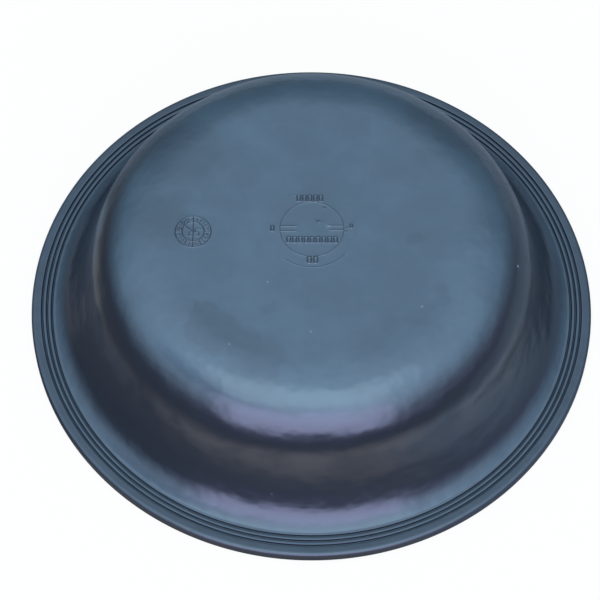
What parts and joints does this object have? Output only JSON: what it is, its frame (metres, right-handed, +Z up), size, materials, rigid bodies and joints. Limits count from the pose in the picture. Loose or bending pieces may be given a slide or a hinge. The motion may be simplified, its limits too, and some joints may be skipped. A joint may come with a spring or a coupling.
{
  "type": "rubber cup diaphragm",
  "caption": "One-piece moulded rubber diaphragm: a domed cup with a soft shoulder, a wall that flares into a hollow root, and a flat clamped rim with sealing grooves.",
  "frame": {"origin": "middle of the rim's underside", "axes": "+Z up the axis of the cup, out of its crown; the date dial lies towards -X"},
  "size_m": [0.206, 0.206, 0.0542],
  "materials": {
    "black_rubber": "satin"
  },
  "bodies": {
    "root": {"diaphragm": "black_rubber"}
  },
  "joints": []
}
